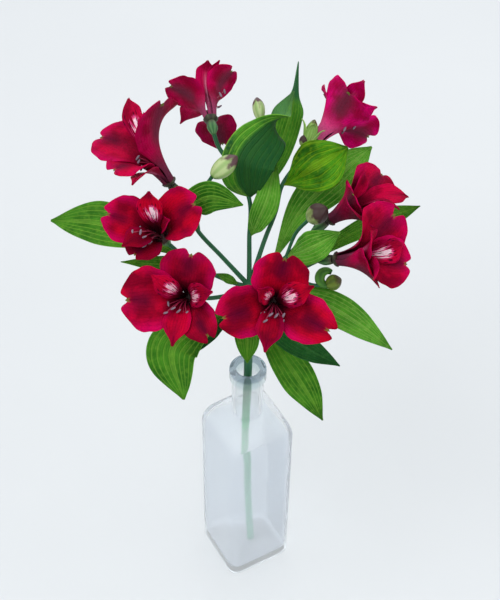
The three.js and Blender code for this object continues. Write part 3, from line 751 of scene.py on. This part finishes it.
def makeTepal(kind, place, finish, stand, bloom, seed, vivid=0):
    angle, reach, rise, roll, wide, cup, arch = (*place, *usualShape[len(place) - 3:])
    foot = kind["foot"]
    corners = [Vector(p) for p in ((foot, 2), (foot + 0.8, rise * arch * 0.61),
                                   (foot + reach * 0.35, rise * arch), (reach, rise))]
    out = spoke(angle)
    across = out.cross(zUp)
    phase = seed * 1.7

    def placeAt(s, t):
        spot, way = bezier(*corners, min(t * kind["end"](s), 1))
        opened = smoothStep(t, 0.4, 1)
        half = kind["width"] / 2 * wide * kind["halfWidth"](t)
        edge = waves["scallop"] * sin(11 * t + phase) * abs(s)
        half *= 1 + edge + waves["notch"] * sin(29 * t + 2 * phase + 2 * s)
        half *= 1 + waves["tooth"] * sin(53 * t + 5 * phase + 3 * s) * opened
        wrapRadius = spot.x / (kind["wrap"](t) + cup * smoothStep(t, 0.3, 0.8))
        swing = half * s / wrapRadius
        wave = kind["ripple"] * sin(7 * t + 3 * s + angle) * s * s * opened
        wave += waves["frill"] * kind["ripple"] * sin(23 * t + phase + 4 * s) * abs(s) ** 4 * opened
        wave += waves["cross"] * kind["ripple"] * sin(17 * s + phase) * opened
        wave -= waves["channel"] * exp(-((s / 0.12) ** 2)) * opened  # along the midline
        section = Vector((wrapRadius * sin(swing), wrapRadius * (1 - cos(swing)) + wave))
        facet = Vector((-sin(swing), cos(swing)))
        curl = Matrix.Rotation(radians(roll) * smoothStep(t, 0.3, 1), 2)
        side, lift = curl @ section
        facet = curl @ facet
        local = out * (spot.x - way.y * lift) + zUp * (spot.y + way.x * lift) + across * side
        front = (out * -way.y + zUp * way.x) * facet.y + across * facet.x
        return (stand @ local) * mm, stand.to_3x3() @ front

    piece = bladeFrom("tepal", kind, placeAt, finish, centreCrowd=1.35)
    pointValues(piece, "tint", bloom["tint"])
    pointValues(piece, "vivid", vivid)
    pointValues(piece, "paintedShade", bloom.get("paintedShade", {}).get(angle, 0))
    return piece


stamens = {
    "count": 6, "length": 22, "shortest": 0.8, "lean": 8, "leanSway": 2.5, "thread": 0.36,
    "fan": 17, "fanSway": 5, "anther": (0.62, 0.5, 1.6),  # fan in degrees from one to the next
}
# The cup where the six claws meet over the ovary, and the ovary under it, as (height, radius) in mm.
cup = ((0.35, 1.6), (0.9, 2.5), (1.8, 3.6), (2.8, 3.9), (3.4, 3.3), (3.6, 1.2))
ovary = ((-9, 1.15), (-7.92, 1.5), (-6.75, 2), (-5.22, 2.5), (-3.6, 2.7), (-1.98, 2.6), (-0.72, 2.4),
         (0, 2.3))


def makeAnther():
    piece = started(bpy.ops.mesh.primitive_uv_sphere_add, "anther", segments=12, ring_count=10, radius=1)
    wide, deep, long = stamens["anther"]
    for vertex in piece.data.vertices:
        x, y, z = vertex.co
        groove = 0.35 * exp(-((x / 0.25) ** 2)) * (1 if y > 0 else 0.4)  # two pollen sacs
        vertex.co = Vector((x * wide, y * (1 - groove) * deep, z * long)) * mm
    piece.data.materials.append(antherSkin)
    bpy.ops.object.shade_smooth()
    return piece


def makeStamens(bloom, stand):
    pieces = []
    for k in range(stamens["count"]):
        spread = (k - 2.5) * stamens["fan"] + stamens["fanSway"] * sin(k * 2.3)
        length = stamens["length"] * (stamens["shortest"] + 0.05 * ((k * 5) % 6))
        lean = stamens["lean"] + stamens["leanSway"] * sin(k * 1.9)
        out = spoke(bloom["bend"] + spread)
        points = [stand @ (out * r + zUp * z) for r, z in ((0.5, 2), (1.2, length * 0.5),
                                                           (lean * 0.5, length * 0.85), (lean, length))]
        pieces.append(rodAlong("thread", points, lambda t: stamens["thread"] * (1.1 - 0.4 * t),
                               filamentSkin, rings=10, sides=6))
        pick(antherModel)
        bpy.ops.object.duplicate()
        anther = bpy.context.object
        way = (points[-1] - points[-2]).normalized()
        lay = (way.orthogonal() + way * 0.5).to_track_quat("Z", "Y").to_matrix().to_4x4()
        anther.data.transform(Matrix.Translation(points[-1] * mm) @ lay)
        pieces.append(anther)
    return pieces


def cupRibs(height, share):
    return 1 + 0.05 * cos(6 * share * tau)


def ovaryRibs(height, share):
    return 1 + 0.07 * sin(pi * height / ovary[0][0]) * cos(6 * share * tau)


filamentSkin = filamentFinish(filamentLook)
antherSkin = antherFinish(antherLook)
ovarySkin = ovaryFinish("ovary skin", (0.02, 0.09, 0.03), (0.1, 0.24, 0.08), (0.07, 0.03, 0.03))
cupSkin = ovaryFinish("claw cup", (0.03, 0.025, 0.02), (0.06, 0.07, 0.035), (0.06, 0.008, 0.018))
stemSkin = stemFinish(stemLook)
antherModel = makeAnther()
for number, bloom in enumerate(blooms, 1):
    stand = facing(bloom["faces"], bloom["seat"])
    parts = [makeTepal(outerTepal, place, outerTepalFinish, stand, bloom, number * 7 + k)
             for k, place in enumerate(bloom["outer"])]
    for k, place in enumerate(bloom["inner"]):
        vivid = bloom["patched"][k]
        finish = innerTepalFinish if vivid else lowerTepalFinish
        parts.append(makeTepal(innerTepal, place, finish, stand, bloom, number * 7 + 3 + k, vivid))
    parts.append(turnedFrom("cup", stand, cup, cupRibs, cupSkin))
    parts += makeStamens(bloom, stand)
    flower = joined(parts, f"flower_{number}")
    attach(flower, "root")
    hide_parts(f"bloom_{number}")
bpy.data.objects.remove(antherModel)
print("flowers made")

stem = {  # line in mm from the table, the rest of the plant in mm from the fork
    "line": ((1, 3, 4.3), (-1, 1, 60), (-1, -1, 115), (0, -2, 170), (0, 0, 234)),
    "radius": 2.3, "ray": 1.15, "node": 1.4, "nodeBulge": 0.35,
}
rays = [
    ((-14, 5, 16), (-26, 8, 31), (-31, 14, 37)),
    ((0, 15, 19), (0, 28, 36), (-8, 40, 47), (-16, 49, 54)),
    ((-5, 0, 1), (-18, 2, 6), (-31, 5, 13)),
    ((-9, -7, 1), (-19, -14, 5)),
    ((5, -7, 2), (9, -14, 5)),
    ((8, 18, 16), (14, 28, 28), (17, 36, 38), (24, 43, 46)),
    ((10, 2, 9), (19, 4, 17), (27, 9, 23)),
    ((11, -2, 6), (23, -5.5, 15.5)),
]


def fromFork(points):
    return [leaning @ Vector(p) for p in points]


buds = [
    {"foot": (-19, 19, 58.5), "tip": (-6, 27, 65.5), "radius": 5, "kind": "pale",
     "stalk": ((-26, 8, 31), (-27, 16, 45))},
    {"foot": (30, 6, 41), "tip": (39, 5, 50), "radius": 5.4, "kind": "dark",
     "stalk": ((19, 4, 17), (24, 8, 30))},
    {"foot": (6, 70, 56), "tip": (4, 82, 62), "radius": 3.4, "kind": "pale",
     "stalk": ((0, 28, 36), (3, 50, 46))},
    {"foot": (30, 44, 58.5), "tip": (34, 53, 69), "radius": 4.6, "kind": "green", "slim": 0.72,
     "stalk": ((17, 36, 38), (24, 40, 47))},
    {"foot": (40, -6, 6), "tip": (48, -4, 9), "radius": 4.2, "kind": "brown",
     "stalk": ((21, -4, 13), (32, -6, 7))},
]


def makeStem():
    parts = [rodAlong("mainStem", stem["line"], lambda t: stem["radius"] * (1 - 0.04 * sin(5 * t)),
                      stemSkin, rings=60, sides=20, streaks=7)]
    fork = Vector((0, 0, forkHeight * mm))
    node = started(bpy.ops.mesh.primitive_uv_sphere_add, "node", segments=24, ring_count=16, location=fork,
                   radius=stem["radius"] * stem["node"] * mm)
    bpy.ops.object.transform_apply(location=True)
    for vertex in node.data.vertices:  # the swollen node bulges where each ray leaves
        way = (vertex.co - fork).normalized()
        swell = sum(max(way.dot(Vector(ray[0]).normalized()), 0) ** 12 for ray in rays)
        vertex.co += way * stem["nodeBulge"] * mm * min(swell, 1.5)
    node.data.materials.append(stemSkin)
    bpy.ops.object.shade_smooth()
    parts.append(node)
    for bloom, ray in zip(blooms, rays):
        end = Vector(bloom["seat"]) + Vector(bloom["faces"]).normalized() * ovary[0][0] * 0.85
        points = fromFork([(0, 0, 0), *ray, end])
        parts.append(rodAlong("ray", points, lambda t: stem["ray"] * (1 + 0.25 * (1 - t) ** 6),
                              stemSkin, rings=14 * len(ray) + 14, sides=12))
        stand = facing(bloom["faces"], bloom["seat"])
        parts.append(turnedFrom("ovary", stand, ovary, ovaryRibs, ovarySkin))
    for bud in buds:
        foot, tip = Vector(bud["foot"]), Vector(bud["tip"])
        points = fromFork([*bud["stalk"], foot + (tip - foot).normalized() * 0.2])
        parts.append(rodAlong("budStalk", points, lambda t: stem["ray"] * (0.75 + 0.12 * t),
                              stemSkin, rings=30, sides=10))
    piece = joined(parts, "stemAndRays")
    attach(piece, "root")
    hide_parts("stem")


makeStem()
print("stem made")

budSkins = {
    "pale": budFinish("pale bud", (0.42, 0.53, 0.24), (0.14, 0.3, 0.05), (0.07, 0.015, 0.035), 0.42, 0.95),
    "dark": budFinish("dark bud", (0.26, 0.34, 0.12), (0.09, 0.14, 0.03), (0.035, 0.008, 0.016), 0.25, 0.95),
    "green": budFinish("green bud", (0.24, 0.38, 0.08), (0.07, 0.17, 0.02), (0.045, 0.008, 0.014), 0.62, 0.9),
    "brown": budFinish("brownish bud", (0.16, 0.24, 0.03), (0.05, 0.1, 0.015), (0.06, 0.025, 0.012),
                       0.45, 0.85),
    "sepal": budFinish("curled sepal", (0.1, 0.3, 0.04), (0.02, 0.1, 0.02), (0.03, 0.12, 0.02), 0.6, 0.6),
}
budShape = ((0, 0.3), (0.05, 0.45), (0.12, 0.66), (0.22, 0.84), (0.35, 0.96), (0.48, 1), (0.6, 0.99),
            (0.72, 0.88), (0.83, 0.68), (0.91, 0.45), (0.97, 0.24), (1, 0.08))  # shares of length, radius


def budRibs(height, share):
    fold = (3 * (share + 0.16 * height)) % 1  # three tepals, each lapping over the next
    return 1 + 0.11 * sin(pi * height) * (fold - 0.5)


def budBody(bud):
    foot, tip = Vector(bud["foot"]), Vector(bud["tip"])
    piece = turnedFrom("bud", facing(tip - foot, foot), budShape, budRibs, budSkins[bud["kind"]], sides=36,
                       wide=bud["radius"] * bud.get("slim", 1), long=(tip - foot).length)
    rounded(piece)
    return piece


# Bud 4 has pointed sepals round its foot, their tips turned out, and a young dark bud beside it.
sepals = {"angles": (20, 110, 200, 290), "width": 7.5, "reach": 7, "rise": 11.5, "thickness": 0.5,
          "columns": 6, "rows": 14}
youngBud = {"foot": (28, 43.5, 58.5), "tip": (28.5, 46.5, 64), "radius": 2.5, "kind": "dark"}


def makeSepals(stand):
    parts = []
    for angle in sepals["angles"]:
        out = spoke(angle)
        across = out.cross(zUp)
        rise = sepals["rise"] * (1 + 0.12 * sin(angle))
        corners = [Vector(p) for p in ((1.2, 0.5), (4.6, rise * 0.3), (3.4, rise), (sepals["reach"], rise))]

        def placeAt(s, t):
            spot, way = bezier(*corners, t)
            half = sepals["width"] / 2 * max(sin(pi * (0.12 + 0.86 * t) ** 0.8), 0.06)
            swing = half * s / max(spot.x, 2)
            local = out * (spot.x * cos(swing)) + across * (spot.x * sin(swing)) + zUp * spot.y
            front = out * -way.y + zUp * way.x
            return (stand @ local) * mm, stand.to_3x3() @ front

        parts.append(bladeFrom("sepal", sepals, placeAt, sepalSkin))
    return parts


# Bud 5 has a sepal curled up like a ring, from and to in degrees.
curledSepal = {"middle": (40.5, -3.2, 8.8), "bend": 3.8, "from": 50, "to": 290, "radius": 2.7}


def makeCurl():
    points = []
    for k in range(9):
        turn = radians(lerp(curledSepal["from"], curledSepal["to"], k / 8))
        over = sin(turn) * sqrt(0.5)
        bent = Vector((cos(turn), over, over)) * curledSepal["bend"]
        points.append(Vector(curledSepal["middle"]) + bent)
    return rodAlong("curl", fromFork(points),
                    lambda t: curledSepal["radius"] * (0.25 + 0.75 * sin(pi * (0.1 + 0.8 * t))),
                    budSkins["sepal"], rings=24, sides=14, streaks=4)


def makeBud(number, bud):
    parts = [budBody(bud)]
    if number == 4:
        parts += makeSepals(facing(Vector(bud["tip"]) - Vector(bud["foot"]), bud["foot"]))
        parts.append(budBody(youngBud))
    if number == 5:
        parts.append(makeCurl())
    piece = joined(parts, f"budHead_{number}")
    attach(piece, "root")
    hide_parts(f"bud_{number}")


for number, bud in enumerate(buds, 1):
    makeBud(number, bud)
print("buds made")

# Each leaf: midrib points from the rod that carries it, greatest width, where that is along it,
# the way the upper face looks, the fold, and the shade of green.
leaves = [
    (((-31, 5, 13), (-53, 19, 16), (-80, 28, 19), (-107, 34, 16)), 24, 0.62, (0, -0.5, 0.85), 0.2, "fresh"),
    (((-18, 2, 6), (-40, 12, 3), (-68, 9, 9)), 10, 0.5, (0, -0.4, 0.9), 0.25, "fresh"),
    (((0, 0, -5), (-20, -18, -7), (-39, -35, -11), (-34, -49, -35)), 27, 0.68, (-0.3, -0.8, 0.5), 0.2,
     "fresh"),
    (((-19, -14, 5), (-44, -13, 0), (-62, -14, -11)), 9, 0.5, (-0.1, -0.4, 0.9), 0.2, "fresh"),
    (((0, 0, -6), (-19, -18, -13), (-27, -26, -23)), 10, 0.5, (-0.2, -0.7, 0.6), 0.2, "deep"),
    (((0, 0, -6), (-1, -30, -3), (-1, -46, -10)), 13, 0.6, (0, -0.4, 0.9), 0.25, "fresh"),
    (((0, 0, -4), (22, -28, -11), (47, -38, -21)), 17, 0.5, (0.1, -0.4, 0.9), 0.3, "deep"),
    (((0, 0, -11), (18, -26, -27), (30, -38, -40), (39, -48, -53)), 19, 0.5, (0.2, -0.8, 0.5), 0.15,
     "fresh"),
    (((0, 0, -5), (36, -9, -3), (56, -17, -10), (76, -21, -27)), 18, 0.5, (0.2, -0.6, 0.8), 0.15,
     "yellow-green"),
    (((0, 28, 36), (-1, 33, 56), (11, 53, 62), (24, 81, 67)), 29, 0.36, (0.1, -0.8, 0.6), 0.2, "half-shadowed"),
    (((0, 28, 36), (10, 50, 35), (22, 80, 50), (27, 106, 69)), 15, 0.58, (0, -0.6, 0.8), 0.2, "dark-tipped"),
    (((0, 15, 19), (2.5, 17, 25), (9, 26.5, 36.5), (14, 47, 47)), 14, 0.62, (0.3, -0.7, 0.6), 0.2,
     "yellow-green"),
    (((-26, 8, 31), (-30, 9, 46), (-20, 10, 53), (-3, 10, 47.5)), 17, 0.6, (0, -0.9, 0.5), 0.15, "fresh"),
    (((17, 36, 38), (33, 30, 55), (51, 40, 61)), 27, 0.58, (0, -0.7, 0.7), 0.2, "creased"),
    (((10, 2, 9), (27, 34, 22), (49, 54, 32), (67, 70, 38)), 24, 0.6, (0, -0.6, 0.8), 0.2, "yellow-green"),
    (((19, 4, 17), (32, -6, 33), (46, -3, 41)), 17, 0.5, (0, -0.6, 0.8), 0.2, "yellow-green"),
    (((11, -2, 6), (64, 30, 16), (92, 39, 22)), 12, 0.6, (0, -0.6, 0.8), 0.2, "fresh"),
    (((-5, 0, 1), (-11, -2, 7), (-17, -2, 11)), 5, 0.5, (0, -0.6, 0.8), 0.2, "yellow-green"),
]
leafBuild = {
    "thickness": 0.55, "columns": 14, "rows": 34, "pleat": 0.12,
    "edgeWave": 0.02, "wave": 0.04, "frill": 0.012,  # shares of the width
    "twists": {10: (165, 0.62, 0.86), 11: (70, 0.66, 0.82)},  # degrees about the midrib, from, to
    "crumples": {14: 1.3, 16: 0.4},  # mm of puckering
    "tapers": {3: 0.6, 12: 0.4},  # how far along the foot stays slender
    "stemGap": 0.2, "rayGap": 0.4,  # mm from the rod to the leaf's foot
}


def makeLeaf(number, leaf):
    midrib, width, belly, looks, fold, shade = leaf
    points = [Vector(p) for p in midrib]
    away = points[1] - points[0]
    if points[0].x == 0 and points[0].y == 0:
        away *= (stem["radius"] + leafBuild["stemGap"]) / hypot(away.x, away.y)
    else:
        away *= (stem["ray"] + leafBuild["rayGap"]) / away.length
    points[0] = points[0] + away
    line = SmoothLine(fromFork(points))
    looks = Vector(looks)
    swell = log(0.5) / log(belly)
    twist, start, stop = leafBuild["twists"].get(number, (0, 0, 1))
    crumple = leafBuild["crumples"].get(number, 0)
    taper = leafBuild["tapers"].get(number, 0.01)

    def placeAt(s, t):
        spot, along = line.at(t), line.way(t)
        across = along.cross(looks).normalized()
        across.rotate(Quaternion(along, radians(twist) * smoothStep(t, start, stop)))
        normal = across.cross(along)
        outline = max(sin(pi * t ** swell), 0.04)
        half = width / 2 * outline * lerp(0.3, 1, smoothStep(t, 0, taper))
        half *= 1 + leafBuild["edgeWave"] * sin(19 * t + 3 * number + (4 if s > 0 else 0))
        lift = fold * half * (sqrt(s * s + 0.01) - 0.1)
        lift += leafBuild["wave"] * width * sin(9 * t + 2 * s) * s * s * outline
        lift += leafBuild["frill"] * width * sin(31 * t + 5 * s + number) * s ** 4 * outline
        lift += crumple * sin(8 * s + 5 * t) * sin(17 * t + 3 * s) * min(outline * 2, 1)
        lift += leafBuild["pleat"] * cos(7 * pi * s) * min(outline * 2, 1) * (1 - s ** 8)
        return (spot + across * half * s + normal * lift) * mm, normal

    piece = joined([bladeFrom("leaf", leafBuild, placeAt, leafFinishes[shade])], f"leafBlade_{number}")
    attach(piece, "root")
    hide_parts(f"leaf_{number}")


for number, leaf in enumerate(leaves, 1):
    makeLeaf(number, leaf)
print("leaves made")

studio = {
    "floorSize": 6, "floor": ((0.62, 0.64, 0.65), (0.65, 0.67, 0.68)),
    "sky": (0.94, 0.965, 1), "skyStrength": 0.88, "aim": (0, 0.02, 0.22),
    "lamps": (  # name, place, size, power
        ("keyPanel", (-0.6, -0.5, 1.3), 0.9, 7.8),
        ("fillPanel", (0.9, -0.3, 0.9), 0.8, 3.2),
        ("backPanel", (0.1, 1, 1), 0.9, 4),
    ),
}


def floorFinish():
    n = Nodes("pale table")
    n.colour = n.mixed(n.noise(6), *studio["floor"])
    return n.finish(0.6)


floor = started(bpy.ops.mesh.primitive_plane_add, "tableTop", size=studio["floorSize"])
floor.data.materials.append(floorFinish())

sky = bpy.data.worlds.new("studio sky")
sky.use_nodes = True
background = sky.node_tree.nodes["Background"]
background.inputs["Color"].default_value = (*studio["sky"], 1)
background.inputs["Strength"].default_value = studio["skyStrength"]
bpy.context.scene.world = sky
for name, spot, size, power in studio["lamps"]:
    lamp = started(bpy.ops.object.light_add, name, type="AREA", location=spot)
    lamp.data.size = size
    lamp.data.energy = power
    lamp.rotation_euler = (Vector(studio["aim"]) - Vector(spot)).to_track_quat("-Z", "Y").to_euler()

view = {"place": (0.0005, -0.472, 0.6955), "tilt": 45, "roll": 0.95, "lens": 75, "near": 0.01}
camera = started(bpy.ops.object.camera_add, "stillCamera", location=view["place"])
camera.data.lens = view["lens"]
camera.data.clip_start = view["near"]
tilt = Matrix.Rotation(radians(view["tilt"]), 3, "X")
roll = Matrix.Rotation(radians(view["roll"]), 3, "Z")
camera.rotation_euler = (tilt @ roll).to_euler()
bpy.context.scene.camera = camera
bpy.context.scene.view_settings.view_transform = "Standard"
print("stage set")
